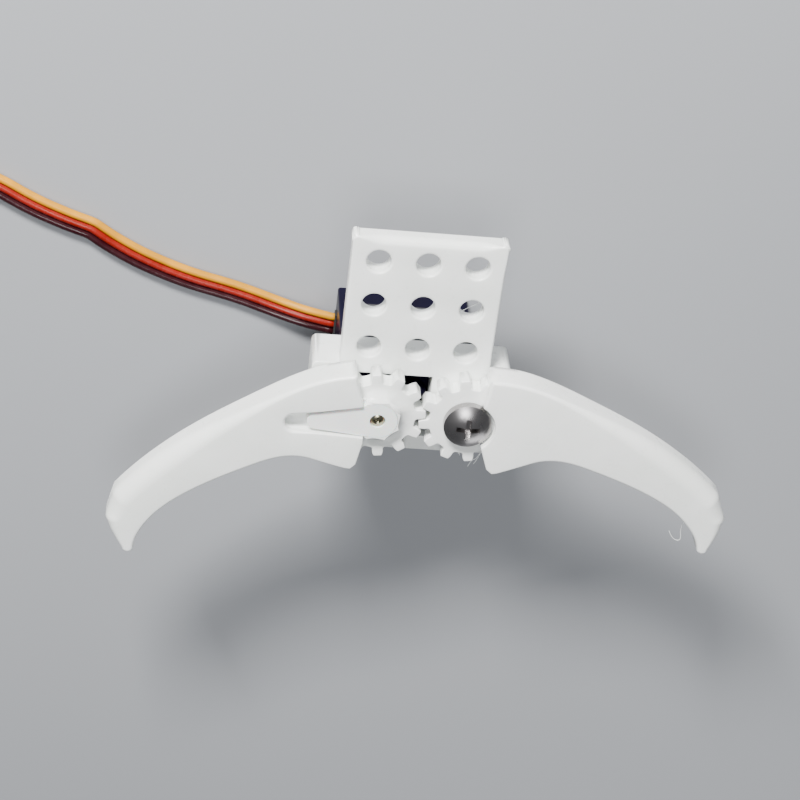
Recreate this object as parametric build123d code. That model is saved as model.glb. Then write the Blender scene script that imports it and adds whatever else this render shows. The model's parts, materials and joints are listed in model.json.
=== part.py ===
"""Two-finger servo gripper: a printed bracket with a 3 x 3 hole plate, a 9 g micro servo that
turns the left claw, and a right claw that follows it through a pair of printed gears.

Frame: origin at the centre hole, on the plate's top face. +Z is up along the servo's shaft,
+Y points to the plate's rear edge, and the claws reach out to -Y. All sizes are millimetres.
"""
from build123d import *
from math import acos, atan2, cos, degrees, hypot, pi, radians, sin, tan
import os

# ---- driving dimensions ---------------------------------------------------------------------
HOLE_PITCH = 8.0
HOLE_R = 2.0
PLATE_HALF_WIDTH = 12.5
PLATE_REAR = 12.3
PLATE_THICKNESS = 3.0

SHAFT = (-5.6, -19.1)  # the servo's shaft, and the left claw's axis
GEAR_CENTRES = 15.0  # from the shaft to the idler screw
IDLER = (SHAFT[0] + GEAR_CENTRES, SHAFT[1])

SERVO_LENGTH = 23.0
SERVO_WIDTH = 12.2
SERVO_BOTTOM = -27.2
TAB_LENGTH = 32.2
TAB_LOW = SERVO_BOTTOM + 16.0
TAB_HIGH = SERVO_BOTTOM + 18.5
CASE_TOP = SERVO_BOTTOM + 22.7
TOWER_TOP = SERVO_BOTTOM + 26.7
COVER_SPLIT = SERVO_BOTTOM + 4.6  # bottom cover to middle case
GEARBOX_SPLIT = TAB_HIGH  # middle case to top case
SERVO_END = SHAFT[0] - 6.4  # the end nearest the shaft
SERVO_MID = SERVO_END + SERVO_LENGTH / 2
TOWER_R = 5.8
WALL = 0.9

BLOCK_X = (-17.0, 16.4)  # the bracket's wide front block
BLOCK_Y = (-27.8, -11.5)

CLAW_LOW = 0.7  # underside of both claws and their gears
GEAR_THICKNESS = 3.0
CLAW_THICKNESS = 5.0
GEAR_TOP = CLAW_LOW + GEAR_THICKNESS
CLAW_TOP = CLAW_LOW + CLAW_THICKNESS
COLLAR_TOP = CLAW_TOP - 0.5
CLAW_TEETH = 12
CLAW_MODULE = GEAR_CENTRES / CLAW_TEETH
LEFT_TURN = 184.6  # where the left claw's own +X points, at rest
RIGHT_TURN = 4.6
MESH_ANGLE = 8.75  # the left gear has a gap, and the right a tooth, this far below the centre line

RUN = 0.05  # radial clearance of a shaft in its hole
GAP = 0.15  # clearance between printed pieces

WIRE_R = 0.7
WIRE_PITCH = 1.44
FLOOR = SERVO_BOTTOM
LEAD_LENGTH = 250.0

os.makedirs("parts", exist_ok=True)


# ---- helpers --------------------------------------------------------------------------------
def box(x0, x1, y0, y1, z0, z1):
    """A block between two corners."""
    size = Box(x1 - x0, y1 - y0, z1 - z0)
    return Pos((x0 + x1) / 2, (y0 + y1) / 2, (z0 + z1) / 2) * size


def cyl(centre, radius, z0, z1):
    """An upright cylinder."""
    return Pos(centre[0], centre[1], (z0 + z1) / 2) * Cylinder(radius, z1 - z0)


def ring(centre, outer, inner, z0, z1):
    return cyl(centre, outer, z0, z1) - cyl(centre, inner, z0 - 1, z1 + 1)


def upright(face, z0, z1):
    """A flat outline raised from z0 to z1."""
    return extrude(Pos(0, 0, z0) * face, z1 - z0)


def polar(radius, angle):
    return (radius * cos(radians(angle)), radius * sin(radians(angle)))


def gear_face(teeth, module, tip, root, phase, slack=0.12, curved=False):
    """A spur gear's outline with involute flanks, with one tooth centred on the angle phase."""
    pitch_r = teeth * module / 2
    base_r = pitch_r * cos(radians(20))
    half_thickness = (pi / 2 * module - slack) / 2 / pitch_r

    def involute(radius):
        a = acos(min(1.0, base_r / radius))
        return tan(a) - a

    def half_angle(radius):
        at = max(radius, base_r)
        return degrees(half_thickness + involute(pitch_r) - involute(at))

    middle = max(pitch_r, base_r)
    low, high = half_angle(root), half_angle(tip)
    lines = []
    for tooth in range(teeth):
        centre = phase + tooth * 360 / teeth
        following = centre + 360 / teeth
        rise = [polar(root, centre - low), polar(middle, centre - half_angle(middle)), polar(tip, centre - high)]
        fall = [polar(tip, centre + high), polar(middle, centre + half_angle(middle)), polar(root, centre + low)]
        if curved:
            lines += [Spline(*rise), Spline(*fall)]
        else:
            lines += [Polyline(*rise), Polyline(*fall)]
        lines.append(ThreePointArc(polar(tip, centre - high), polar(tip, centre), polar(tip, centre + high)))
        gap_middle = (centre + following) / 2
        lines.append(
            ThreePointArc(polar(root, centre + low), polar(root, gap_middle), polar(root, following - low))
        )
    return make_face(lines)


def cross_recess(centre, top, length, width, depth):
    """A cross recess whose wings slope in to a narrower floor."""
    floor = length * 0.42
    side = Polyline((-length / 2, 1), (-length / 2, 0), (-floor / 2, -depth), (floor / 2, -depth),
                    (length / 2, 0), (length / 2, 1), close=True)
    wing = extrude(Plane.XZ * make_face(side), width / 2, both=True)
    return Pos(*centre, top) * (wing + Rot(0, 0, 90) * wing)


def pan_screw(centre, top, head_r, head_h, shank_r, length, recess):
    """A screw with a domed head and a cross recess, pointing down. top is the underside of the head."""
    dome = head_h * 0.5
    dome_r = (head_r**2 + dome**2) / (2 * dome)
    head = cyl(centre, head_r, top, top + head_h) & Pos(*centre, top + head_h - dome_r) * Sphere(dome_r)
    shank = cyl(centre, shank_r, top - length, top)
    tip_edge = shank.edges().filter_by(GeomType.CIRCLE).group_by(Axis.Z)[0]
    shank = chamfer(tip_edge, shank_r * 0.35)
    return head + shank - cross_recess(centre, top + head_h, *recess)


def save(name, shape):
    shape.label = name
    export_step(shape, f"parts/{name}.step")


# ---- printed bracket ------------------------------------------------------------------------
TAB_HOLE_X = (SERVO_MID - 14.0, SERVO_MID + 14.0)
TOWER_BUMP_R = 2.9
TOWER_END = SHAFT[0] - TOWER_R + 14.4
BUMP = (TOWER_END - TOWER_BUMP_R, SHAFT[1])
# the printer's swollen corners at the plate's rear
BEAD_R = 0.75
BEAD_INSET = 0.55


def tower_outline(grow):
    """Plan of the servo's tower: a large round over the shaft and a small one beside it."""
    large = Pos(*SHAFT) * Circle(TOWER_R + grow)
    small = Pos(*BUMP) * Circle(TOWER_BUMP_R + grow)
    middle = (SHAFT[0] + BUMP[0]) / 2
    bridge = Pos(middle, SHAFT[1]) * Rectangle(BUMP[0] - SHAFT[0], 2 * (TOWER_BUMP_R + grow))
    return large + small + bridge


def base_bracket():
    plate = box(-PLATE_HALF_WIDTH, PLATE_HALF_WIDTH, BLOCK_Y[0] + 1, PLATE_REAR, -PLATE_THICKNESS, 0)
    corners = plate.edges().filter_by(Axis.Z).group_by(Axis.Y)[-1]
    plate = fillet(corners, 0.8)
    block = box(*BLOCK_X, *BLOCK_Y, TAB_HIGH, 0)
    block = fillet(block.edges().filter_by(Axis.Z), 1.0)
    body = plate + block
    for side in (-1, 1):
        bead = (side * (PLATE_HALF_WIDTH - BEAD_INSET), PLATE_REAR - BEAD_INSET)
        body += cyl(bead, BEAD_R, -PLATE_THICKNESS, -0.3)
    body += cyl(IDLER, 3.6, 0, CLAW_LOW - GAP)
    # pocket for the top of the servo's case, and the window that its tower comes up through
    body -= box(
        SERVO_END - GAP, SERVO_END + SERVO_LENGTH + GAP,
        SHAFT[1] - SERVO_WIDTH / 2 - GAP, SHAFT[1] + SERVO_WIDTH / 2 + GAP,
        TAB_HIGH - 1, CASE_TOP + 0.1,
    )
    reach = TOWER_R + GAP
    body -= box(SERVO_END - GAP, TOWER_END + GAP, SHAFT[1] - reach, SHAFT[1] + reach, CASE_TOP, 1)
    for row in (-1, 0, 1):
        for column in (-1, 0, 1):
            body -= cyl((column * HOLE_PITCH, row * HOLE_PITCH), HOLE_R, -PLATE_THICKNESS - 1, 1)
    for x in TAB_HOLE_X:
        body -= cyl((x, SHAFT[1]), 0.85, TAB_HIGH - 1, -1.2)
    body -= cyl(IDLER, IDLER_THREAD_R, IDLER_END - 0.3, 1)
    body -= cyl(IDLER, IDLER_SCREW_R + RUN, 0, CLAW_LOW)
    return body


# ---- servo case -----------------------------------------------------------------------------
CASE_SCREW_X = (SERVO_END + 1.55, SERVO_END + SERVO_LENGTH - 1.55)
CASE_SCREW_Y = (SHAFT[1] - 4.55, SHAFT[1] + 4.55)
CASE_SCREWS = [(x, y) for x in CASE_SCREW_X for y in CASE_SCREW_Y]
CABLE_Z = SERVO_BOTTOM + 2.6
SLEEVE_WIDTH = 4.8
SLEEVE_HEIGHT = 2.0


def case_shell(z0, z1, floor_at=None, roof_at=None):
    """A length of the servo's case, hollow, with a screw post in each corner."""
    y0, y1 = SHAFT[1] - SERVO_WIDTH / 2, SHAFT[1] + SERVO_WIDTH / 2
    x0, x1 = SERVO_END, SERVO_END + SERVO_LENGTH
    outer = box(x0, x1, y0, y1, z0, z1)
    outer = fillet(outer.edges().filter_by(Axis.Z), 0.5)
    inner_z0 = z0 - 1 if floor_at is None else floor_at
    inner_z1 = z1 + 1 if roof_at is None else roof_at
    hollow = box(x0 + WALL, x1 - WALL, y0 + WALL, y1 - WALL, inner_z0, inner_z1)
    for x, y in CASE_SCREWS:
        hollow -= cyl((x, y), 1.0, inner_z0, inner_z1)
    return outer - hollow


def bottom_cover():
    body = case_shell(SERVO_BOTTOM, COVER_SPLIT, floor_at=SERVO_BOTTOM + WALL)
    for spot in CASE_SCREWS:
        body -= cyl(spot, 0.55, SERVO_BOTTOM - 1, COVER_SPLIT + 1)
        body -= cyl(spot, 1.15, SERVO_BOTTOM - 1, SERVO_BOTTOM + 0.8)
    body -= box(
        SERVO_END - 1, SERVO_END + WALL + 0.4,
        SHAFT[1] - SLEEVE_WIDTH / 2 - RUN, SHAFT[1] + SLEEVE_WIDTH / 2 + RUN,
        CABLE_Z - SLEEVE_HEIGHT / 2 - RUN, CABLE_Z + SLEEVE_HEIGHT / 2 + RUN,
    )
    return body


def middle_case():
    body = case_shell(COVER_SPLIT, GEARBOX_SPLIT, roof_at=GEARBOX_SPLIT - 1.0)
    x0, x1 = SERVO_MID - TAB_LENGTH / 2, SERVO_MID + TAB_LENGTH / 2
    y0, y1 = SHAFT[1] - SERVO_WIDTH / 2, SHAFT[1] + SERVO_WIDTH / 2
    tabs = box(x0, SERVO_END + 0.5, y0, y1, TAB_LOW, TAB_HIGH)
    tabs += box(SERVO_END + SERVO_LENGTH - 0.5, x1, y0, y1, TAB_LOW, TAB_HIGH)
    body += tabs
    for x, outward in zip(TAB_HOLE_X, (-1, 1)):
        end = SERVO_MID + outward * TAB_LENGTH / 2
        body -= cyl((x, SHAFT[1]), 1.1, TAB_LOW - 1, TAB_HIGH + 1)
        low_x, high_x = sorted((x, end + outward))
        body -= box(low_x, high_x, SHAFT[1] - 0.6, SHAFT[1] + 0.6, TAB_LOW - 1, TAB_HIGH + 1)
    for spot in CASE_SCREWS:
        body -= cyl(spot, 0.55, COVER_SPLIT - 1, GEARBOX_SPLIT + 1)
    body -= cyl(MOTOR_AXIS, 1.9, GEARBOX_SPLIT - 2, GEARBOX_SPLIT + 1)
    body -= cyl(SHAFT, 1.5, GEARBOX_SPLIT - 2, GEARBOX_SPLIT + 1)
    body -= cyl(MIDDLE_AXIS, AXLE_R, GEARBOX_SPLIT - 2, GEARBOX_SPLIT + 1)
    return body


def top_case():
    body = case_shell(GEARBOX_SPLIT, CASE_TOP, roof_at=CASE_TOP - WALL)
    body += upright(tower_outline(0), CASE_TOP - WALL, TOWER_TOP)
    body -= upright(tower_outline(-WALL), GEARBOX_SPLIT - 1, TOWER_TOP - WALL)
    body -= cyl(SHAFT, BUSH_R, TOWER_TOP - WALL - 1, TOWER_TOP + 1)
    for spot in CASE_SCREWS:
        body -= cyl(spot, 0.5, GEARBOX_SPLIT - 1, CASE_TOP - WALL)
    return body


def side_label():
    """The blank label on the case's long rear side."""
    y = SHAFT[1] + SERVO_WIDTH / 2
    return box(SERVO_END + 1.0, SERVO_END + SERVO_LENGTH - 1.0, y, y + 0.1, COVER_SPLIT + 0.6, TAB_LOW - 0.6)


# ---- gear train -----------------------------------------------------------------------------
FINE_MODULE = 0.3
MIDDLE_AXIS = (SHAFT[0] + FINE_MODULE * 38 / 2, SHAFT[1])
MOTOR_AXIS = (MIDDLE_AXIS[0] + FINE_MODULE * 32 / 2, SHAFT[1])
AXLE_R = 0.5
ROTOR_SHAFT_R = 0.4
BUSH_R = 3.0
OUTPUT_R = 2.3
GEARBOX_FLOOR = GEARBOX_SPLIT
LAYER = [GEARBOX_FLOOR + 0.15 + step for step in (0.0, 1.05, 2.1, 3.15)]
FACE_WIDTH = 0.85


def fine_gear(centre, teeth, phase, z0, z1, bore):
    """A small moulded gear on its axle."""
    pitch_r = teeth * FINE_MODULE / 2
    face = gear_face(
        teeth, FINE_MODULE, pitch_r + 0.85 * FINE_MODULE, pitch_r - 1.1 * FINE_MODULE, phase, slack=0.1
    )
    body = Pos(centre[0], centre[1], 0) * upright(face, z0, z1)
    if bore:
        body -= cyl(centre, bore, z0 - 1, z1 + 1)
    return body


def gap_phase(teeth, direction):
    """The phase that leaves a gap, not a tooth, facing that direction."""
    return direction + 180 / teeth


def motor_pinion():
    """The brass pinion pressed on the rotor's shaft."""
    return fine_gear(MOTOR_AXIS, 8, 180, LAYER[0], LAYER[0] + FACE_WIDTH, ROTOR_SHAFT_R)


def first_gear():
    bore = AXLE_R + RUN
    body = fine_gear(MIDDLE_AXIS, 24, gap_phase(24, 0), LAYER[0], LAYER[0] + FACE_WIDTH, bore)
    return body + fine_gear(MIDDLE_AXIS, 8, 180, LAYER[0] + FACE_WIDTH, LAYER[1] + FACE_WIDTH + 0.1, bore)


def second_gear():
    bore = AXLE_R + RUN
    body = fine_gear(SHAFT, 30, gap_phase(30, 0), LAYER[1], LAYER[1] + FACE_WIDTH, bore)
    return body + fine_gear(SHAFT, 8, 0, LAYER[1] + FACE_WIDTH, LAYER[2] + FACE_WIDTH + 0.1, bore)


def third_gear():
    bore = AXLE_R + RUN
    body = fine_gear(MIDDLE_AXIS, 30, gap_phase(30, 180), LAYER[2], LAYER[2] + FACE_WIDTH, bore)
    return body + fine_gear(MIDDLE_AXIS, 10, 180, LAYER[2] + FACE_WIDTH, TOWER_TOP - WALL - 0.3, bore)


def output_gear():
    """The last gear, its shaft through the tower and the spline that the horn is pressed on."""
    gear_high = LAYER[3] + 1.9
    body = fine_gear(SHAFT, 28, gap_phase(28, 0), LAYER[3], gear_high, 0)
    body += cyl(SHAFT, OUTPUT_R, gear_high, HORN_LOW - 0.2)
    body += Pos(*SHAFT) * upright(spline_face(OUTPUT_R, OUTPUT_R - 0.2), HORN_LOW - 0.2, SPLINE_TOP)
    body -= cyl(SHAFT, AXLE_R + RUN, LAYER[3] - 1, LAYER[3] + 1.2)
    body -= cyl(SHAFT, 0.8, SPLINE_TOP - 3.4, SPLINE_TOP + 1)
    return body


def spline_face(tip, root, teeth=21):
    """The outline of the fine teeth on the end of the output shaft."""
    points = []
    for tooth in range(teeth):
        centre = tooth * 360 / teeth
        points += [polar(root, centre - 90 / teeth * 1.6), polar(tip, centre - 20 / teeth), polar(tip, centre + 20 / teeth)]
    return make_face(Polyline(*points, close=True))


def gear_axle():
    return cyl(MIDDLE_AXIS, AXLE_R, GEARBOX_SPLIT - 1.0, TOWER_TOP - WALL)


def output_pin():
    """The pin on the shaft's line that the second gear turns on."""
    return cyl(SHAFT, AXLE_R, GEARBOX_SPLIT - 1.0, LAYER[3] + 1.0) + cyl(SHAFT, 1.5, GEARBOX_SPLIT - 1.0, GEARBOX_SPLIT)


def output_bush():
    return ring(SHAFT, BUSH_R, OUTPUT_R + RUN, TOWER_TOP - WALL, TOWER_TOP)


# ---- motor and electronics ------------------------------------------------------------------
MOTOR_R = 4.1
MOTOR_LOW = SERVO_BOTTOM + 3.0
MOTOR_TOP = GEARBOX_SPLIT - 1.2


def motor():
    """The motor's drawn steel can, open below."""
    body = cyl(MOTOR_AXIS, MOTOR_R, MOTOR_LOW + 1.2, MOTOR_TOP)
    body = fillet(body.edges().group_by(Axis.Z)[-1], 0.5)
    body -= cyl(MOTOR_AXIS, MOTOR_R - 0.5, MOTOR_LOW + 1, MOTOR_TOP - 1.0)
    return body - cyl(MOTOR_AXIS, ROTOR_SHAFT_R + RUN, MOTOR_TOP - 2, MOTOR_TOP + 1)


def motor_end_cap():
    body = cyl(MOTOR_AXIS, MOTOR_R - 0.3, MOTOR_LOW, MOTOR_LOW + 1.2)
    body += cyl(MOTOR_AXIS, 1.2, MOTOR_LOW - 0.5, MOTOR_LOW)
    return body - cyl(MOTOR_AXIS, ROTOR_SHAFT_R + RUN, MOTOR_LOW, MOTOR_LOW + 2)


def motor_magnets():
    """Two curved magnets against the can's wall."""
    low, high = MOTOR_LOW + 2.4, MOTOR_TOP - 1.8
    body = ring(MOTOR_AXIS, MOTOR_R - 0.52, MOTOR_R - 1.05, low, high)
    body -= box(MOTOR_AXIS[0] - 5, MOTOR_AXIS[0] + 5, MOTOR_AXIS[1] - 0.9, MOTOR_AXIS[1] + 0.9, low - 1, high + 1)
    return Compound(children=list(body.solids()))


def motor_rotor():
    """The rotor: its stack with three poles, its commutator and its shaft."""
    low, high = MOTOR_LOW + 2.6, MOTOR_TOP - 2.0
    body = cyl(MOTOR_AXIS, MOTOR_R - 1.4, low, high)
    for pole in range(3):
        x, y = polar(MOTOR_R - 1.4, 60 + 120 * pole)
        body -= cyl((MOTOR_AXIS[0] + x, MOTOR_AXIS[1] + y), 0.6, low - 1, high + 1)
    body += cyl(MOTOR_AXIS, 0.9, MOTOR_LOW + 1.5, low)
    return body + cyl(MOTOR_AXIS, ROTOR_SHAFT_R, MOTOR_LOW + 0.3, LAYER[0] + FACE_WIDTH)


def potentiometer():
    """The feedback potentiometer under the output shaft."""
    top = GEARBOX_SPLIT - 1.1
    body = box(SHAFT[0] - 4.2, SHAFT[0] + 4.2, SHAFT[1] - 3.9, SHAFT[1] + 3.9, top - 3.4, top)
    body = fillet(body.edges().filter_by(Axis.Z), 1.2)
    for side in (-1, 0, 1):
        y = SHAFT[1] + side * 2.2
        body += box(SHAFT[0] - 3.2, SHAFT[0] - 2.6, y - 0.3, y + 0.3, top - 5.4, top - 3.3)
    return body


def control_board():
    return box(SERVO_END + 1.3, SERVO_END + SERVO_LENGTH - 3.0, SHAFT[1] - 3.4, SHAFT[1] + 3.4, BOARD_Z, BOARD_Z + 0.6)


BOARD_Z = SERVO_BOTTOM + 1.3


def board_chips():
    """The driver chip, the two transistors and a capacitor on the board."""
    top = BOARD_Z + 0.6
    chips = [
        box(SHAFT[0] - 1.5, SHAFT[0] + 2.5, SHAFT[1] - 2.0, SHAFT[1] + 2.0, top, top + 0.5),
        box(SHAFT[0] + 3.2, SHAFT[0] + 4.6, SHAFT[1] + 1.2, SHAFT[1] + 2.6, top, top + 0.5),
        box(SHAFT[0] + 3.2, SHAFT[0] + 4.6, SHAFT[1] - 2.6, SHAFT[1] - 1.2, top, top + 0.5),
        box(SHAFT[0] - 2.9, SHAFT[0] - 2.1, SHAFT[1] - 2.4, SHAFT[1] - 1.0, top, top + 0.5),
    ]
    return Compound(children=chips)


# ---- fasteners ------------------------------------------------------------------------------
def case_screws():
    """Four long screws up through the servo's corners."""
    screws = []
    for x, y in CASE_SCREWS:
        head = cyl((x, y), 0.95, SERVO_BOTTOM + 0.1, SERVO_BOTTOM + 0.8)
        head -= box(x - 0.7, x + 0.7, y - 0.13, y + 0.13, SERVO_BOTTOM, SERVO_BOTTOM + 0.4)
        head -= box(x - 0.13, x + 0.13, y - 0.7, y + 0.7, SERVO_BOTTOM, SERVO_BOTTOM + 0.4)
        screws.append(head + cyl((x, y), 0.5, SERVO_BOTTOM + 0.8, CASE_TOP - WALL - 0.4))
    return Compound(children=screws)


def mounting_screws():
    """Two self-tapping screws from below, through the servo's tabs into the bracket."""
    screws = []
    for x in TAB_HOLE_X:
        screw = pan_screw((0, 0), 0, 1.7, 1.2, 0.85, 9.0, (1.9, 0.4, 0.6))
        screws.append(Pos(x, SHAFT[1], TAB_LOW) * Rot(180, 0, 0) * screw)
    return Compound(children=screws)


HEAD_R = 4.0
IDLER_SCREW_R = 1.95
IDLER_THREAD_R = 1.72
IDLER_END = -4.0


def idler_screw():
    """The M4 pan-head screw that the right claw turns on, its threaded end cut into the bracket."""
    under_head = GEAR_TOP + GAP
    screw = pan_screw(IDLER, under_head, HEAD_R, 2.5, IDLER_SCREW_R, under_head, (4.3, 0.85, 1.7))
    return screw + cyl(IDLER, IDLER_THREAD_R, IDLER_END, 0.1)


# ---- claws ----------------------------------------------------------------------------------
def claw_face():
    """Plan of a claw's body with its axis at the origin, reaching out along +X and hooked to -Y."""
    outer = Spline((3.6, 9.0), (10.0, 7.8), (15.3, 5.5), (21.2, 2.25), (29.5, -2.75), (37.3, -8.6), (44.2, -15.4))
    knuckle = Polyline((44.2, -15.4), (45.7, -20.0), (44.9, -22.3), (43.1, -25.8))
    tip = ThreePointArc((43.1, -25.8), (42.1, -26.7), (41.2, -25.9))
    inner = Spline(
        (41.2, -25.9), (40.6, -23.6), (39.2, -21.1), (36.9, -18.3), (33.0, -15.1), (27.6, -11.9), (21.4, -8.95),
        (16.0, -7.05), (11.3, -7.25),
    )
    heel = Polyline((11.3, -7.25), (5.3, -9.2), (4.4, -9.3), (3.5, -8.4), (2.4, -4.2), (2.4, 3.4), (3.6, 9.0))
    return make_face([outer, knuckle, tip, inner, heel])


def claw_body():
    """The curved finger."""
    return upright(claw_face(), CLAW_LOW, CLAW_TOP)


CLAW_TIP_R = 8.05
CLAW_ROOT_R = 6.35


def claw_gear(phase):
    """Twelve stub teeth with rounded tips and hollowed roots."""
    body = upright(
        gear_face(CLAW_TEETH, CLAW_MODULE, CLAW_TIP_R, CLAW_ROOT_R, phase, slack=0.2, curved=True),
        CLAW_LOW, GEAR_TOP,
    )
    corners = body.edges().filter_by(Axis.Z)
    roots = [edge for edge in corners if abs(hypot(edge.center().X, edge.center().Y) - CLAW_ROOT_R) < 0.05]
    body = fillet(roots, 0.5)
    corners = body.edges().filter_by(Axis.Z)
    tips = [edge for edge in corners if abs(hypot(edge.center().X, edge.center().Y) - CLAW_TIP_R) < 0.05]
    return fillet(tips, 0.2)


HORN_LOW = CLAW_LOW + 0.2
HORN_ARM_LOW = COLLAR_TOP - 1.8
HORN_HUB_R = 3.3
HORN_GAP = 0.06
HORN_TIP = (10.2, 1.45)  # centre and radius of the arm's rounded end
SLOT_TIP = (13.6, 1.65)
SPLINE_TOP = COLLAR_TOP - 1.6
HORN_SCREW_SEAT = COLLAR_TOP - 0.85


def arm_face(hub_r, tip_x, tip_r):
    """A tapered arm: a round hub and a smaller round end, joined by their common tangents."""
    lean = degrees(acos((hub_r - tip_r) / tip_x))
    hub_point, tip_point = polar(hub_r, lean), polar(tip_r, lean)
    a = (hub_point[0], hub_point[1])
    b = (tip_x + tip_point[0], tip_point[1])
    c = (b[0], -b[1])
    d = (a[0], -a[1])
    lines = [Line(a, b), ThreePointArc(b, (tip_x + tip_r, 0), c), Line(c, d), ThreePointArc(d, (-hub_r, 0), a)]
    return make_face(lines)


def left_claw():
    """The driven claw. Its top has a slot for the servo's horn and an eight-sided collar round the hub."""
    body = mirror(claw_body(), Plane.XZ)
    # in the claw's own frame, this leaves a gap MESH_ANGLE below the centre line at rest
    body += claw_gear(gap_phase(CLAW_TEETH, -MESH_ANGLE - LEFT_TURN))
    body += upright(Rot(0, 0, 22.5 - LEFT_TURN) * RegularPolygon(3.95, 8), GEAR_TOP, COLLAR_TOP)
    body -= upright(arm_face(HORN_HUB_R + HORN_GAP, *SLOT_TIP), HORN_ARM_LOW, CLAW_TOP + 1)
    body -= cyl((0, 0), HORN_HUB_R + HORN_GAP, CLAW_LOW - 1, CLAW_TOP + 1)
    return Pos(*SHAFT) * Rot(0, 0, LEFT_TURN) * body


def right_claw():
    """The following claw: the same finger mirrored, with a plain bore and a round relief for the screw's head."""
    body = claw_body()
    body += claw_gear(180 + MESH_ANGLE - RIGHT_TURN)
    body -= cyl((0, 0), 4.6, GEAR_TOP, CLAW_TOP + 1)
    body -= cyl((0, 0), IDLER_SCREW_R + RUN, CLAW_LOW - 1, CLAW_TOP + 1)
    return Pos(*IDLER) * Rot(0, 0, RIGHT_TURN) * body


def servo_horn():
    """The one-armed horn that carries the left claw."""
    body = upright(arm_face(HORN_HUB_R, *HORN_TIP), HORN_ARM_LOW, COLLAR_TOP)
    body += cyl((0, 0), HORN_HUB_R, HORN_LOW, COLLAR_TOP)
    body -= cyl((0, 0), OUTPUT_R + 0.02, HORN_LOW - 1, SPLINE_TOP)
    body -= cyl((0, 0), 1.0, HORN_LOW, COLLAR_TOP + 1)
    body -= cyl((0, 0), 1.3, HORN_SCREW_SEAT, COLLAR_TOP + 1)
    return Pos(*SHAFT) * Rot(0, 0, LEFT_TURN) * body


def horn_screw():
    return pan_screw(SHAFT, HORN_SCREW_SEAT, 1.25, 0.8, 0.8, 4.15, (1.6, 0.32, 0.45))


# ---- lead -----------------------------------------------------------------------------------
SLEEVE_END = SERVO_END - 0.3
TIE_THICKNESS = 0.25
LYING = FLOOR + TIE_THICKNESS + 0.05 + WIRE_R
# the middle wire's route, from the strain relief to the coil
ROUTE = [
    (-12.1, -19.1, -24.6),
    (-17.0, -18.3, -24.8),
    (-22.6, -17.1, -25.9),
    (-30.0, -14.7, LYING),
    (-38.5, -12.7, LYING),
    (-46.5, -9.6, LYING),
    (-51.8, -6.7, LYING),
    (-55.3, -4.3, LYING),
    (-59.5, -2.9, LYING),
    (-65.7, -0.4, LYING),
    (-72.8, 3.7, LYING),
    (-81.6, 5.8, LYING),
    (-90.5, 7.6, LYING),
]
# the spare lead: just over one flat turn, spiralling in, then a tail to the connector
RIBBON = 2 * (WIRE_PITCH + WIRE_R)
COIL_CENTRE = (-101.0, -14.2)
COIL_START_R = hypot(ROUTE[-1][0] - COIL_CENTRE[0], ROUTE[-1][1] - COIL_CENTRE[1])
COIL_END_R = 19.0
TAIL_R = 12.0
TAIL_SWEEP = 110.0
COIL_LOW = LYING - WIRE_R
COIL_HIGH = LYING + WIRE_R
HOUSING_LENGTH = 14.0
HOUSING_WIDTH = 7.6
HOUSING_HEIGHT = 2.5


def flat_offset(points, aside):
    """The route moved sideways in plan, so that wires beside each other stay parallel."""
    moved = []
    for i, (x, y, z) in enumerate(points):
        before = points[max(0, i - 1)]
        after = points[min(len(points) - 1, i + 1)]
        into = atan2(y - before[1], x - before[0]) if i else atan2(after[1] - y, after[0] - x)
        out = atan2(after[1] - y, after[0] - x) if i < len(points) - 1 else into
        middle = (into + out) / 2
        if abs(into - out) > pi:
            middle += pi
        reach = aside / cos((into - out) / 2)
        moved.append((x - reach * sin(middle), y + reach * cos(middle), z))
    return moved


def corner_radii(points):
    """The largest tangent arcs: 0.45 of the shorter run over the tangent of half the turn."""
    radii = []
    for a, b, c in zip(points, points[1:], points[2:]):
        into, out = Vector(*b) - Vector(*a), Vector(*c) - Vector(*b)
        half_turn = radians(into.get_angle(out)) / 2
        radii.append(0.45 * min(into.length, out.length) / tan(half_turn))
    return radii


def wire(aside):
    points = flat_offset(ROUTE, aside)
    radii = corner_radii(points)
    path = FilletPolyline(*points, radius=radii)
    start = Plane(origin=path @ 0, z_dir=path % 0)
    body = sweep(start * Circle(WIRE_R), path=path) - coil_ring()
    print(f"wire {aside:+.2f}: length {path.length:.1f}, section x length {pi * WIRE_R**2 * path.length:.2f},",
          f"volume {body.volume:.2f}, radii", [round(r, 1) for r in radii])
    return body


def coil_ring():
    outer = COIL_START_R + RIBBON / 2
    return ring(COIL_CENTRE, outer, COIL_END_R - RIBBON / 2, COIL_LOW, COIL_HIGH)


def coil_tail():
    """Where the spiral ends, the centre of the tail's arc, and the arc's end with its heading."""
    start_angle = degrees(atan2(ROUTE[-1][1] - COIL_CENTRE[1], ROUTE[-1][0] - COIL_CENTRE[0]))
    route_length = FilletPolyline(*ROUTE, radius=corner_radii(ROUTE)).length
    in_spiral = LEAD_LENGTH - route_length - radians(TAIL_SWEEP) * TAIL_R
    spiral_sweep = degrees(in_spiral / ((COIL_START_R + COIL_END_R) / 2))
    angle = start_angle + spiral_sweep
    inset = polar(COIL_END_R - TAIL_R, angle)
    centre = (COIL_CENTRE[0] + inset[0], COIL_CENTRE[1] + inset[1])
    out = polar(TAIL_R, angle + TAIL_SWEEP)
    end = (centre[0] + out[0], centre[1] + out[1])
    return angle, centre, end, angle + TAIL_SWEEP + 90


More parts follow.
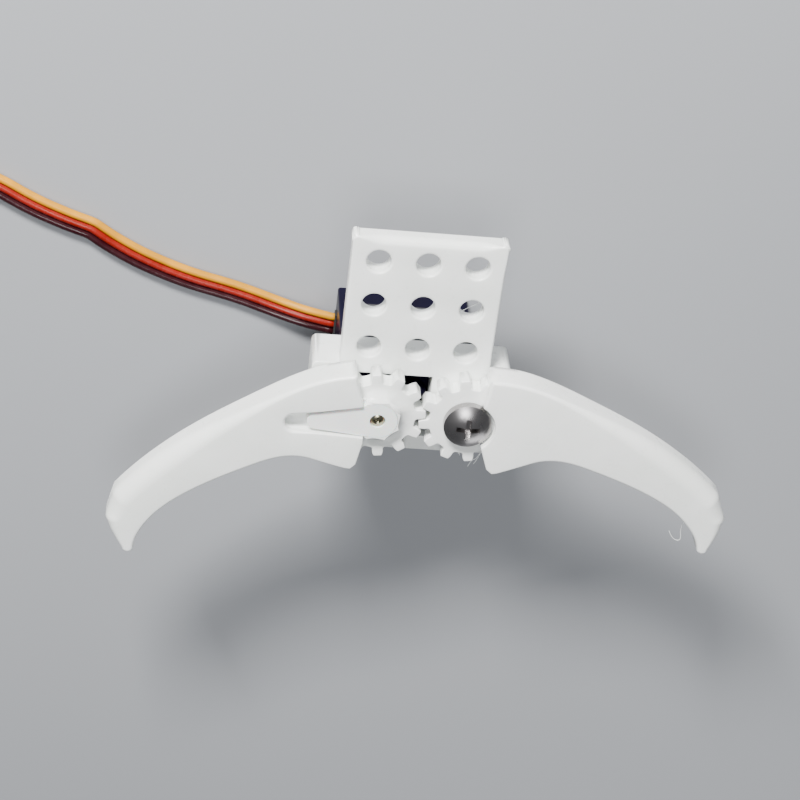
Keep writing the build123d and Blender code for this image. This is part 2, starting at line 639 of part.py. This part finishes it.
def lead_coil():
    """The outer shape of the spare lead, wound flat, with the tail that leads to the connector."""
    angle, centre, _, _ = coil_tail()
    tail = ring(centre, TAIL_R + RIBBON / 2, TAIL_R - RIBBON / 2, COIL_LOW, COIL_HIGH)
    # keep the part of the ring that the tail sweeps through
    wide = TAIL_R + RIBBON
    first, middle, last = (polar(3 * wide, angle + TAIL_SWEEP * part) for part in (0, 0.5, 1))
    wedge = make_face(Polyline((0, 0), first, middle, last, close=True))
    tail &= Pos(centre[0], centre[1], 0) * upright(wedge, COIL_LOW, COIL_HIGH)
    return coil_ring() + tail


def on_end(shape):
    """Places a shape made with its rear face at the origin, pointing along +X, on the lead's end."""
    _, _, end, heading = coil_tail()
    return Pos(end[0], end[1], FLOOR) * Rot(0, 0, heading) * shape


def connector_housing():
    """The three-way plug's moulded housing, with a square way through it for each contact."""
    half = HOUSING_WIDTH / 2
    body = box(0, HOUSING_LENGTH, -half, half, 0.02, HOUSING_HEIGHT)
    body = fillet(body.edges().filter_by(Axis.X), 0.25)
    for way in (-1, 0, 1):
        y = way * 2.54
        body -= box(0.6, HOUSING_LENGTH + 1, y - 0.75, y + 0.75, 0.55, 1.95)
        body -= box(5.0, 8.0, y - 0.55, y + 0.55, 1.9, 3.0)
    return on_end(body)


def connector_contacts():
    """Three crimped socket contacts, each a folded metal box in its way."""
    contacts = []
    for way in (-1, 0, 1):
        y = way * 2.54
        body = box(0.8, HOUSING_LENGTH - 0.6, y - 0.7, y + 0.7, 0.6, 1.9)
        body -= box(8.0, HOUSING_LENGTH + 1, y - 0.45, y + 0.45, 0.85, 1.65)
        contacts.append(on_end(body))
    return Compound(children=contacts)


def coil_tie():
    """A strap round the two turns, where the spiral has just passed its own start."""
    angle = (degrees(atan2(ROUTE[-1][1] - COIL_CENTRE[1], ROUTE[-1][0] - COIL_CENTRE[0])) + coil_tail()[0] - 360) / 2
    inner, outer = COIL_END_R - RIBBON / 2, COIL_START_R + RIBBON / 2
    strap = box(inner - 0.6, outer + 0.6, -1.5, 1.5, FLOOR + 0.02, COIL_HIGH + TIE_THICKNESS + 0.02)
    strap -= box(inner - 0.35, outer + 0.35, -2, 2, COIL_LOW - 0.02, COIL_HIGH + 0.02)
    return Pos(COIL_CENTRE[0], COIL_CENTRE[1], 0) * Rot(0, 0, angle) * strap


def cable_grommet():
    """The strain relief in the servo's end, a flat rubber sleeve."""
    half = SLEEVE_WIDTH / 2
    low, high = CABLE_Z - SLEEVE_HEIGHT / 2, CABLE_Z + SLEEVE_HEIGHT / 2
    return box(SLEEVE_END, SERVO_END + WALL, SHAFT[1] - half, SHAFT[1] + half, low, high)


def main():
    save("base_bracket", base_bracket())
    save("servo_bottom_cover", bottom_cover())
    save("servo_middle_case", middle_case())
    save("servo_top_case", top_case())
    save("servo_case_screws", case_screws())
    save("servo_mounting_screws", mounting_screws())
    save("side_label", side_label())
    save("servo_motor", motor())
    save("motor_end_cap", motor_end_cap())
    save("motor_magnets", motor_magnets())
    save("motor_rotor", motor_rotor())
    save("motor_pinion", motor_pinion())
    save("first_gear", first_gear())
    save("second_gear", second_gear())
    save("third_gear", third_gear())
    save("output_gear", output_gear())
    save("gear_axle", gear_axle())
    save("output_pin", output_pin())
    save("output_bush", output_bush())
    save("potentiometer", potentiometer())
    save("control_board", control_board())
    save("board_chips", board_chips())
    save("servo_horn", servo_horn())
    save("horn_screw", horn_screw())
    save("left_claw", left_claw())
    save("right_claw", right_claw())
    save("idler_screw", idler_screw())
    save("cable_grommet", cable_grommet())
    save("signal_wire", wire(-WIRE_PITCH))
    save("power_wire", wire(0))
    save("ground_wire", wire(WIRE_PITCH))
    save("lead_coil", lead_coil())
    save("coil_tie", coil_tie())
    save("connector_housing", connector_housing())
    save("connector_contacts", connector_contacts())


main()
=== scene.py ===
"""Looks for a two-finger servo gripper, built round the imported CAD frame. All sizes are metres."""

import json
import math

import bmesh
import bpy
from mathutils import Euler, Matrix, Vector
from mathutils.kdtree import KDTree


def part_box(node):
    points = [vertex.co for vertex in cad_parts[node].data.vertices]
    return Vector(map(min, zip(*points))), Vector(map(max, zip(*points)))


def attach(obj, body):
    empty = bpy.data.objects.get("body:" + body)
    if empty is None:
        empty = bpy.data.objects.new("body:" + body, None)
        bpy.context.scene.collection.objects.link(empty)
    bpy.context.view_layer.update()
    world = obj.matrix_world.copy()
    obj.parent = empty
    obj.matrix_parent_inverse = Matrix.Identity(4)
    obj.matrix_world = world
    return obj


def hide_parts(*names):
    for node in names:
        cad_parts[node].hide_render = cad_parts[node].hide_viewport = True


MM = 0.001

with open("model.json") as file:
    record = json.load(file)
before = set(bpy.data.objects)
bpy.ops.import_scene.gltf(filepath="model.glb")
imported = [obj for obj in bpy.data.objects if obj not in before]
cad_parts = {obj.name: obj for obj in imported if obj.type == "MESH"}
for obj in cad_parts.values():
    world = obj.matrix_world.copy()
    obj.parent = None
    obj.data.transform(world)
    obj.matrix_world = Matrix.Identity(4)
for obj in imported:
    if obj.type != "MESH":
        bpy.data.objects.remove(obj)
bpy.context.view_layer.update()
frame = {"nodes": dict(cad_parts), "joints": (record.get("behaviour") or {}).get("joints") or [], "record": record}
nodes = frame["nodes"]
BODY_OF = {node: body for body, members in frame["record"]["behaviour"]["bodies"].items() for node in members}


# ---- helpers --------------------------------------------------------------------------------
def smooth_step(value, low, high):
    t = min(1.0, max(0.0, (value - low) / (high - low)))
    return t * t * (3 - 2 * t)


def between(first, last, part):
    return first + (last - first) * part


def joint_axis(name):
    return Vector(next(joint["pos_m"] for joint in frame["joints"] if joint["name"] == name))


def add_object(name, data):
    piece = bpy.data.objects.new(name, data)
    bpy.context.scene.collection.objects.link(piece)
    return piece


def smooth_curve(name, points):
    """A curve with one smooth spline, drawn between these control points."""
    curve = bpy.data.curves.new(name, "CURVE")
    curve.dimensions = "3D"
    spline = curve.splines.new("NURBS")
    spline.points.add(len(points) - 1)
    for point, place in zip(spline.points, points):
        point.co = (*place, 1)
    spline.order_u = 3
    spline.use_endpoint_u = True
    return curve


def on_circle(centre, radius, angle, height):
    return Vector((centre.x + radius * math.cos(angle), centre.y + radius * math.sin(angle), height))


# ---- stage ----------------------------------------------------------------------------------
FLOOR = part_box("servo_bottom_cover")[0].z
FLOOR_REACH = 3.0
LIT_PLACE = (0.0, -0.02, 0.0)


def make_camera():
    """A camera above the plate's rear edge, looking down to the claws."""
    data = bpy.data.cameras.new("camera")
    data.lens = 86.587
    data.sensor_width = 36.0
    data.shift_x = 0.0069
    data.shift_y = -0.0496
    data.clip_start = 0.01
    camera = add_object("camera", data)
    camera.location = (-0.03439, 0.15779, 0.2668)
    camera.rotation_euler = [math.radians(a) for a in (-32.547, -2.633, 6.287)]
    bpy.context.scene.camera = camera


def area_light(name, place, size, power, color):
    data = bpy.data.lights.new(name, "AREA")
    data.shape = "RECTANGLE"
    data.size, data.size_y = size
    data.energy = power
    data.color = color
    light = add_object(name, data)
    light.location = place
    light.rotation_euler = (Vector(LIT_PLACE) - Vector(place)).to_track_quat("-Z", "Y").to_euler()


def make_stage():
    corners = [(x * FLOOR_REACH, y * FLOOR_REACH, FLOOR) for x, y in ((-1, -1), (1, -1), (1, 1), (-1, 1))]
    mesh = bpy.data.meshes.new("floor")
    mesh.from_pydata(corners, [], [(0, 1, 2, 3)])
    floor = add_object("floor", mesh)
    material = bpy.data.materials.new("floor_paint")
    material.use_nodes = True
    shader = material.node_tree.nodes["Principled BSDF"]
    shader.inputs["Base Color"].default_value = (0.30, 0.31, 0.33, 1)
    shader.inputs["Roughness"].default_value = 0.6
    mesh.materials.append(material)
    area_light("key", (-0.16, 0.44, 0.26), (0.16, 0.10), 10.0, (1.0, 0.99, 0.97))
    area_light("overhead", (-0.05, 0.16, 0.60), (0.22, 0.22), 2.2, (0.98, 0.99, 1.0))
    area_light("fill", (0.20, -0.42, 0.14), (0.24, 0.16), 0.4, (0.96, 0.98, 1.0))
    world = bpy.data.worlds.new("studio")
    world.use_nodes = True
    background = world.node_tree.nodes["Background"]
    background.inputs["Color"].default_value = (0.92, 0.95, 1.0, 1)
    background.inputs["Strength"].default_value = 0.16
    bpy.context.scene.world = world


# ---- materials ------------------------------------------------------------------------------
# how far a wave texture's phase goes in one metre at a scale of 1, in radians
WAVE_PHASE = 20
LAYER = 0.2 * MM
WIRE_GRAIN = 0.0003 * MM


class Paint:
    """A node material being put together: its tree, its shader and short ways to add to it."""

    def __init__(self, name, color, roughness, metallic=0.0):
        self.material = bpy.data.materials.new(name)
        self.material.use_nodes = True
        self.tree = self.material.node_tree
        self.shader = self.tree.nodes["Principled BSDF"]
        self.set("Base Color", (*color, 1))
        self.set("Roughness", roughness)
        self.set("Metallic", metallic)
        self.normal = None

    def set(self, socket, value):
        self.shader.inputs[socket].default_value = value

    def add(self, kind, **settings):
        node = self.tree.nodes.new(kind)
        for key, value in settings.items():
            if key in node.inputs:
                node.inputs[key].default_value = value
            else:
                setattr(node, key, value)
        return node

    def link(self, out, into):
        self.tree.links.new(out, into)

    def coordinates(self, scale=(1, 1, 1)):
        """Object coordinates in metres, stretched."""
        place = self.add("ShaderNodeTexCoord")
        mapping = self.add("ShaderNodeMapping")
        mapping.inputs["Scale"].default_value = scale
        self.link(place.outputs["Object"], mapping.inputs["Vector"])
        return mapping.outputs["Vector"]

    def noise(self, scale, detail, stretch=(1, 1, 1)):
        node = self.add("ShaderNodeTexNoise", Scale=scale, Detail=detail)
        self.link(self.coordinates(stretch), node.inputs["Vector"])
        return node.outputs["Fac"]

    def ramp(self, value, first, last):
        """Spreads the middle of a noise's range from first to last."""
        node = self.add("ShaderNodeMapRange")
        for key, number in zip(("From Min", "From Max", "To Min", "To Max"), (0.35, 0.65, first, last)):
            node.inputs[key].default_value = number
        self.link(value, node.inputs["Value"])
        return node.outputs["Result"]

    def vary_color(self, value, first, last):
        node = self.add("ShaderNodeMix", data_type="RGBA")
        for socket, color in zip((socket for socket in node.inputs if socket.type == "RGBA"), (first, last)):
            socket.default_value = (*color, 1)
        self.link(self.ramp(value, 0, 1), node.inputs["Factor"])
        mixed = next(socket for socket in node.outputs if socket.type == "RGBA")
        self.link(mixed, self.shader.inputs["Base Color"])

    def vary_roughness(self, value, first, last):
        self.link(self.ramp(value, first, last), self.shader.inputs["Roughness"])

    def bump(self, value, distance):
        node = self.add("ShaderNodeBump", Strength=1.0, Distance=distance)
        self.link(value, node.inputs["Height"])
        if self.normal is not None:
            self.link(self.normal, node.inputs["Normal"])
        self.normal = node.outputs["Normal"]
        self.link(self.normal, self.shader.inputs["Normal"])

    def bands(self, pitch):
        """A value that goes up and down once every pitch metres of height."""
        node = self.add("ShaderNodeTexWave", bands_direction="Z", Distortion=0.6, Detail=1.0)
        node.inputs["Scale"].default_value = 1 / (WAVE_PHASE * pitch) * 2 * math.pi
        self.link(self.coordinates(), node.inputs["Vector"])
        return node.outputs["Fac"]


def printed_white():
    """Glossy white printed plastic: fine layers up its walls, faint mottling, light bleeding through."""
    paint = Paint("printed_white", (0.84, 0.86, 0.84), 0.32)
    paint.vary_color(paint.noise(90, 2), (0.80, 0.825, 0.80), (0.86, 0.875, 0.86))
    paint.vary_roughness(paint.noise(600, 2), 0.26, 0.40)
    paint.bump(paint.bands(LAYER), 0.006 * MM)
    paint.bump(paint.noise(350, 3), 0.02 * MM)
    paint.set("Subsurface Weight", 0.25)
    paint.set("Subsurface Radius", (1.0, 1.0, 0.9))
    paint.set("Subsurface Scale", 1.5 * MM)
    paint.set("Coat Weight", 0.15)
    paint.set("Coat Roughness", 0.18)
    return paint.material


def horn_nylon():
    paint = Paint("horn_nylon", (0.86, 0.87, 0.85), 0.3)
    paint.vary_color(paint.noise(150, 2), (0.82, 0.84, 0.83), (0.87, 0.88, 0.86))
    paint.bump(paint.noise(500, 2), 0.01 * MM)
    paint.set("Subsurface Weight", 0.3)
    paint.set("Subsurface Scale", 1.0 * MM)
    return paint.material


def servo_blue():
    """Deep blue translucent moulding."""
    paint = Paint("servo_blue", (0.0018, 0.0007, 0.011), 0.3)
    paint.vary_color(paint.noise(120, 2), (0.0016, 0.0006, 0.009), (0.0020, 0.0008, 0.013))
    paint.bump(paint.noise(700, 3), 0.008 * MM)
    paint.set("Specular IOR Level", 0.09)
    return paint.material


def metal(name, color, roughness, wear, grain=None):
    """Plated or turned metal: faint stains, and if it was worked along a line, a fine grain that way."""
    paint = Paint(name, color, roughness, 1.0)
    darker = tuple(c * wear for c in color)
    paint.vary_color(paint.noise(300, 4), darker, color)
    paint.vary_roughness(paint.noise(400, 2), roughness * 0.93, roughness * 1.08)
    if grain:
        paint.bump(paint.noise(5000, 2, grain), 0.0006 * MM)
    return paint.material


def plastic(name, color, roughness, coat=0.0, grain=0.006 * MM):
    paint = Paint(name, color, roughness)
    lighter = tuple(min(1.0, c * 1.25 + 0.004) for c in color)
    paint.vary_color(paint.noise(250, 3), color, lighter)
    paint.vary_roughness(paint.noise(700, 2), roughness * 0.85, min(1.0, roughness * 1.2))
    paint.bump(paint.noise(1500, 3), grain)
    paint.set("Coat Weight", coat)
    return paint.material


MATERIALS = {
    "printed_white": printed_white(),
    "horn_nylon": horn_nylon(),
    "servo_blue": servo_blue(),
    "steel": metal("steel", (0.55, 0.55, 0.55), 0.3, 0.8),
    "motor_steel": metal("motor_steel", (0.6, 0.6, 0.61), 0.35, 0.85, (1, 1, 8)),
    "idler_steel": metal("idler_steel", (0.36, 0.345, 0.345), 0.29, 0.94),
    "horn_screw_steel": metal("horn_screw_steel", (0.45, 0.42, 0.30), 0.25, 0.7),
    "brass": metal("brass", (0.72, 0.52, 0.22), 0.28, 0.8),
    "contact_tin": metal("contact_tin", (0.66, 0.62, 0.5), 0.3, 0.85),
    "gear_nylon": plastic("gear_nylon", (0.78, 0.78, 0.74), 0.4),
    "magnet_grey": plastic("magnet_grey", (0.08, 0.08, 0.08), 0.6),
    "label_grey": plastic("label_grey", (0.035, 0.035, 0.038), 0.35, 0.2),
    "black_plastic": plastic("black_plastic", (0.012, 0.012, 0.013), 0.45),
    "black_rubber": plastic("black_rubber", (0.015, 0.015, 0.016), 0.7),
    "tie_black": plastic("tie_black", (0.02, 0.02, 0.021), 0.5),
    "board_green": plastic("board_green", (0.01, 0.10, 0.035), 0.35, 0.4),
    "wire_orange": plastic("wire_orange", (0.50, 0.215, 0.0), 0.36, grain=WIRE_GRAIN),
    "wire_red": plastic("wire_red", (0.19, 0.006, 0.002), 0.26, grain=WIRE_GRAIN),
    "wire_brown": plastic("wire_brown", (0.018, 0.001, 0.003), 0.22, grain=WIRE_GRAIN),
}


def dress_nodes():
    """Every CAD node gets the material of its slot."""
    for part in frame["record"]["subparts"]:
        node = nodes[part["node"]]
        node.data.materials.clear()
        node.data.materials.append(MATERIALS[part["material_slot"]])


# ---- rounding the prints --------------------------------------------------------------------
CRISP = 0.2 * MM
ROUND_STEPS = 9
RIM_STEP = 0.8 * MM
UNDER_RIM = 0.1 * MM
MITRE_LIMIT = 0.6
RADIUS_UNIT = 0.001 * MM
SAME_PLACE = 0.001 * MM
SAME_LEVEL = 0.01 * MM
FACES_UP = 0.9
SHARP_ANGLE = math.radians(28)


def rim_loops(edges):
    """The open edges as closed loops, each a list of (vertex, edge to the next vertex)."""
    left = set(edges)
    loops = []
    for first in edges:
        if first not in left:
            continue
        edge = first
        vertex = edge.verts[0]
        loop = []
        while edge is not None:
            left.discard(edge)
            loop.append((vertex, edge))
            vertex = edge.other_vert(vertex)
            edge = next((e for e in vertex.link_edges if e in left), None)
        loops.append(loop)
    return loops


def ease(values):
    """A closed row of values, each drawn a little to the two beside it."""
    return [(values[i - 1] + 2 * value + values[(i + 1) % len(values)]) / 4 for i, value in enumerate(values)]


def round_rim(work, level, radius_at, easing):
    """Rounds the outer edges of the flat top at a level: a quarter round of its own radius at each point.
    Radii and directions are eased along the rim several times, so that a wide round doesn't fold over itself
    at a corner."""
    roof = [
        f for f in work.faces
        if f.normal.z > FACES_UP and abs(f.calc_center_median().z - level) < SAME_LEVEL
    ]
    bmesh.ops.delete(work, geom=roof, context="FACES")
    rim = [e for e in work.edges if e.is_boundary]
    while long_edges := [e for e in rim if e.calc_length() > RIM_STEP]:
        bmesh.ops.subdivide_edges(work, edges=long_edges, cuts=1)
        rim = [e for e in work.edges if e.is_boundary]
    rim_points = {vertex for edge in rim for vertex in edge.verts}
    walls = [vertex for vertex in work.verts if vertex not in rim_points and vertex.co.z < level]
    lowered = KDTree(len(rim_points))
    last_ring = []
    for loop in rim_loops(rim):
        wall_faces = [edge.link_faces[0] for _, edge in loop]
        inward = [-Vector((*face.normal.xy, 0)).normalized() for face in wall_faces]
        goes_down = [face.calc_center_median().z < level for face in wall_faces]
        start = [vertex.co.copy() for vertex, _ in loop]
        mitres = []
        radii = []
        for i, place in enumerate(start):
            total = inward[i - 1] + inward[i]
            mitres.append(total / max(MITRE_LIMIT, total.length_squared / 2))
            radii.append(radius_at(place, -total) if goes_down[i - 1] and goes_down[i] else 0.0)
        for _ in range(easing):
            radii = ease(radii)
            mitres = ease(mitres)
        ring = [vertex for vertex, _ in loop]
        for vertex, radius in zip(ring, radii):
            lowered.insert(Vector((*vertex.co.xy, 0)), round(radius / RADIUS_UNIT))
            vertex.co.z = level - radius
        for step in range(1, ROUND_STEPS + 1):
            angle = math.pi / 2 * step / ROUND_STEPS
            inner = []
            for place, mitre, radius in zip(start, mitres, radii):
                across = radius * (1 - math.cos(angle))
                down = radius * (1 - math.sin(angle))
                inner.append(work.verts.new(place + mitre * across - Vector((0, 0, down))))
            for i in range(len(ring)):
                work.faces.new((ring[i - 1], ring[i], inner[i], inner[i - 1]))
            ring = inner
        last_ring += [work.edges.get((ring[i - 1], ring[i])) for i in range(len(ring))]
    lowered.balance()
    for vertex in walls:
        _, radius_units, distance = lowered.find(Vector((*vertex.co.xy, 0)))
        if distance < RIM_STEP:
            vertex.co.z = min(vertex.co.z, level - radius_units * RADIUS_UNIT - UNDER_RIM)
    bmesh.ops.triangle_fill(work, edges=last_ring, use_beauty=True, normal=(0, 0, 1))


def show_print(name, work):
    """Shows a reshaped copy of a printed CAD node in its place."""
    bmesh.ops.remove_doubles(work, verts=work.verts, dist=SAME_PLACE)
    bmesh.ops.recalc_face_normals(work, faces=work.faces)
    for face in work.faces:
        face.smooth = True
    mesh = bpy.data.meshes.new(name + "_print")
    work.to_mesh(mesh)
    work.free()
    mesh.set_sharp_from_angle(angle=SHARP_ANGLE)
    mesh.materials.append(MATERIALS["printed_white"])
    piece = add_object(name + "_print", mesh)
    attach(piece, BODY_OF[name])
    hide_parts(name)


def copy_node(name):
    work = bmesh.new()
    work.from_mesh(nodes[name].data)
    bmesh.ops.remove_doubles(work, verts=work.verts, dist=SAME_PLACE)
    return work


# ---- claws ----------------------------------------------------------------------------------
# in a claw's own frame: its hub at the origin, its finger along +X, its outer side at +Y, its hook to -Y
SLOT_CRISP = 0.07 * MM
WIDE_ROUND = 3.0 * MM
INNER_ROUND = 0.55 * MM
TOOTH_ROUND = 0.18 * MM
GEAR_THICKNESS = 3.0 * MM
CLAW_EASING = 6
SLOT_REACH = 16 * MM
SLOT_HALF_WIDTH = 3.4 * MM
SLOT_SOFTENS = (10 * MM, 14 * MM)
HEEL_REACH = 6 * MM
INNER_SOFTENS = (6 * MM, 14 * MM)
HOOK_STARTS = 43 * MM
OUTER_WIDENS = (12 * MM, 38 * MM)
HOOK_NARROWS = (-26.0 * MM, -17.0 * MM)
# how far each claw's own frame is turned, at rest
LEFT_TURN = math.radians(184.6)
RIGHT_TURN = math.radians(4.6)


def edge_round(place, outward):
    """Radius of a claw's top edge, in its own frame: crisp at the hub, wide on the finger's outer side."""
    if place.x < SLOT_REACH and abs(place.y) < SLOT_HALF_WIDTH:
        return between(SLOT_CRISP, INNER_ROUND, smooth_step(place.x, *SLOT_SOFTENS))
    if place.x < HEEL_REACH and outward.y < outward.x:
        return CRISP
    if outward.y < 0 and place.x < HOOK_STARTS:
        return between(CRISP, INNER_ROUND, smooth_step(place.x, *INNER_SOFTENS))
    widening = smooth_step(place.x, *OUTER_WIDENS) * smooth_step(place.y, *HOOK_NARROWS)
    return between(INNER_ROUND, WIDE_ROUND, widening)


def round_claw(name, joint, turn, mirrored):
    """The printed claw, its top edges rounded as the print has them, more and more towards the tip."""
    axis = joint_axis(joint)
    unturn = Euler((0, 0, -turn)).to_matrix()

    def own(direction):
        turned = unturn @ direction
        return Vector((turned.x, -turned.y if mirrored else turned.y, turned.z))

    low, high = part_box(name)
    work = copy_node(name)
    round_rim(work, high.z, lambda place, outward: edge_round(own(place - axis), own(outward)), CLAW_EASING)
    round_rim(work, low.z + GEAR_THICKNESS, lambda place, outward: TOOTH_ROUND, 0)
    show_print(name, work)


# ---- bracket --------------------------------------------------------------------------------
REAR_ROUND = 1.4 * MM
SIDE_ROUND = 0.5 * MM
HOLE_ROUND = 0.4 * MM
PLATE_TOP = 0.0
PLATE_HALF_WIDTH = 12.5 * MM
CORNER_REACH = (1.0 * MM, 4.0 * MM)
REAR_FROM = 11 * MM
FRONT_FROM = -10 * MM
SIDE_FROM = 11 * MM
SIDE_ENDS = 10 * MM
SIDE_FADE = 3 * MM
PLATE_EASING = 2


def plate_round(place, outward):
    """Radius of the mounting plate's top edges: widest along its rear, crisp at its two swollen corners."""
    if place.y > REAR_FROM:
        return between(CRISP, REAR_ROUND, smooth_step(PLATE_HALF_WIDTH - abs(place.x), *CORNER_REACH))
    if place.y < FRONT_FROM:
        return CRISP
    if abs(place.x) > SIDE_FROM:
        return between(CRISP, SIDE_ROUND, smooth_step(SIDE_ENDS - place.y, 0, SIDE_FADE))
    return HOLE_ROUND


def slice_up(work, low, high, axis):
    """Cuts a mesh across at close, even steps along an axis, so that its long walls can be reshaped."""
    count = math.ceil((high[axis] - low[axis]) / RIM_STEP)
    across = Vector((axis == 0, axis == 1, 0))
    for i in range(1, count):
        place = Vector(low).lerp(Vector(high), i / count)
        everything = work.verts[:] + work.edges[:] + work.faces[:]
        bmesh.ops.bisect_plane(work, geom=everything, plane_co=place, plane_no=across)


def round_bracket():
    work = copy_node("base_bracket")
    low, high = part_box("base_bracket")
    for axis in (0, 1):
        slice_up(work, low, high, axis)
    round_rim(work, PLATE_TOP, plate_round, PLATE_EASING)
    show_print("base_bracket", work)


# ---- strings --------------------------------------------------------------------------------
STRING_R = 0.06 * MM
# fine threads of plastic that the printer left behind, as (body, points in millimetres)
STRINGS = [
    ("right_claw", [(12.9, -26.0, 2.0), (12.2, -27.6, 2.1), (11.4, -28.0, 1.9), (11.0, -29.4, 1.8)]),
    ("right_claw", [(12.9, -26.1, 2.0), (12.5, -27.2, 2.0), (12.3, -28.0, 1.9), (11.9, -28.8, 1.8)]),
    ("right_claw", [(9.2, -27.1, 0.9), (9.2, -27.7, 0.8), (9.5, -27.4, 0.7), (9.5, -28.0, 0.7)]),
    (
        "right_claw",
        [(50.0, -37.2, 3.0), (49.4, -38.6, 3.1), (50.2, -41.6, 3.1), (48.4, -41.2, 3.0), (47.7, -39.6, 2.9)],
    ),
    ("base", [(6.1, -1.2, -1.5), (7.0, -0.6, -1.6), (8.2, 0.3, -1.5), (9.6, 1.2, -1.4)]),
    ("base", [(6.3, 8.9, -0.7), (6.9, 9.3, -0.9), (7.6, 9.8, -1.0), (8.4, 9.9, -0.7)]),
]


def lay_strings():
    for number, (body, points) in enumerate(STRINGS):
        curve = smooth_curve(f"print_string_{number}", [Vector(place) * MM for place in points])
        curve.bevel_depth = STRING_R
        curve.bevel_resolution = 1
        curve.use_fill_caps = True
        curve.materials.append(MATERIALS["printed_white"])
        string = add_object(curve.name, curve)
        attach(string, body)


# ---- lead -----------------------------------------------------------------------------------
WIRE_R = 0.70 * MM
WIRE_PITCH = 1.40 * MM
WIRE_SIDES = 14
# each wire's place across the ribbon, in pitches towards its rear side, and its slot
WIRES = {1: "wire_orange", 0: "wire_red", -1: "wire_brown"}
# over the CAD model's wires, whose middles are 1.44 mm apart
LYING = FLOOR + 1.0 * MM
# the middle wire's route from the strain relief to the coil, as in the CAD model but with a sharper kink
ROUTE = [
    (-12.1, -19.1, -24.6),
    (-17.0, -18.3, -24.8),
    (-22.6, -17.1, -25.9),
    (-30.0, -14.7, None),
    (-38.5, -12.7, None),
    (-46.5, -9.6, None),
    (-51.8, -6.7, None),
    (-54.3, -5.0, None),
    (-55.3, -4.3, None),
    (-56.4, -3.9, None),
    (-59.5, -2.9, None),
    (-65.7, -0.4, None),
    (-72.8, 3.7, None),
    (-81.6, 5.8, None),
    (-90.5, 7.6, None),
]
COIL_CENTRE = Vector((-101.0, -14.2, 0)) * MM
COIL_END_R = 19.0 * MM
TAIL_R = 12.0 * MM
TAIL_SWEEP = math.radians(110)
TAIL_POINTS = 6
SPIRAL_SWEEP = math.radians(380.6)
POINTS_PER_TURN = 20
POINTS_PER_SPAN = 10


def route_points():
    return [Vector((x * MM, y * MM, LYING if z is None else z * MM)) for x, y, z in ROUTE]


def spiral_points():
    """The turns of spare lead and the tail to the connector, from just after the route's end."""
    start = route_points()[-1] - COIL_CENTRE
    first_r = start.xy.length
    first_angle = math.atan2(start.y, start.x)
    points = []
    steps = round(SPIRAL_SWEEP / (2 * math.pi) * POINTS_PER_TURN)
    for i in range(1, steps + 1):
        part = i / steps
        radius = between(first_r, COIL_END_R, part)
        points.append(on_circle(COIL_CENTRE, radius, first_angle + SPIRAL_SWEEP * part, LYING))
    angle = first_angle + SPIRAL_SWEEP
    tail_centre = on_circle(COIL_CENTRE, COIL_END_R - TAIL_R, angle, LYING)
    for i in range(1, TAIL_POINTS + 1):
        points.append(on_circle(tail_centre, TAIL_R, angle + TAIL_SWEEP * i / TAIL_POINTS, LYING))
    return points


def spline_line(points):
    """Closely spaced points along the smooth spline that has these control points."""
    curve = smooth_curve("route", points)
    curve.splines[0].resolution_u = POINTS_PER_SPAN
    holder = add_object("route", curve)
    mesh = bpy.data.meshes.new_from_object(holder)
    line = [v.co.copy() for v in mesh.vertices]
    bpy.data.objects.remove(holder)
    bpy.data.meshes.remove(mesh)
    return line


def wire_rings(line):
    """For each wire, its rings of points, one ring at each point of the ribbon's middle line."""
    rings = {wire: [] for wire in WIRES}
    for i, place in enumerate(line):
        ahead = line[min(i + 1, len(line) - 1)]
        behind = line[max(i - 1, 0)]
        forward = (ahead - behind).normalized()
        side = forward.cross(Vector((0, 0, 1))).normalized()
        up = side.cross(forward)
        for wire in rings:
            centre = place + side * (wire * WIRE_PITCH)
            turns = [2 * math.pi * k / WIRE_SIDES for k in range(WIRE_SIDES)]
            rings[wire].append([centre + (side * math.cos(t) + up * math.sin(t)) * WIRE_R for t in turns])
    return rings


def make_lead():
    """The flat three-wire ribbon: orange to the rear, red between, brown in front."""
    line = spline_line(route_points() + spiral_points())
    mesh = bpy.data.meshes.new("servo_lead")
    work = bmesh.new()
    for slot, rings in enumerate(wire_rings(line).values()):
        loops = [[work.verts.new(point) for point in ring] for ring in rings]
        for a, b in zip(loops, loops[1:]):
            for k in range(WIRE_SIDES):
                face = work.faces.new((a[k - 1], a[k], b[k], b[k - 1]))
                face.material_index = slot
                face.smooth = True
        for cap in (loops[0][::-1], loops[-1]):
            work.faces.new(cap).material_index = slot
    bmesh.ops.recalc_face_normals(work, faces=work.faces)
    work.to_mesh(mesh)
    work.free()
    lead = add_object("servo_lead", mesh)
    for slot in WIRES.values():
        mesh.materials.append(MATERIALS[slot])
    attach(lead, "base")
    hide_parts("signal_wire", "power_wire", "ground_wire", "lead_coil")


make_camera()
make_lead()
make_stage()
dress_nodes()
round_claw("left_claw", "left_claw_turn", LEFT_TURN, True)
round_claw("right_claw", "right_claw_turn", RIGHT_TURN, False)
round_bracket()
lay_strings()
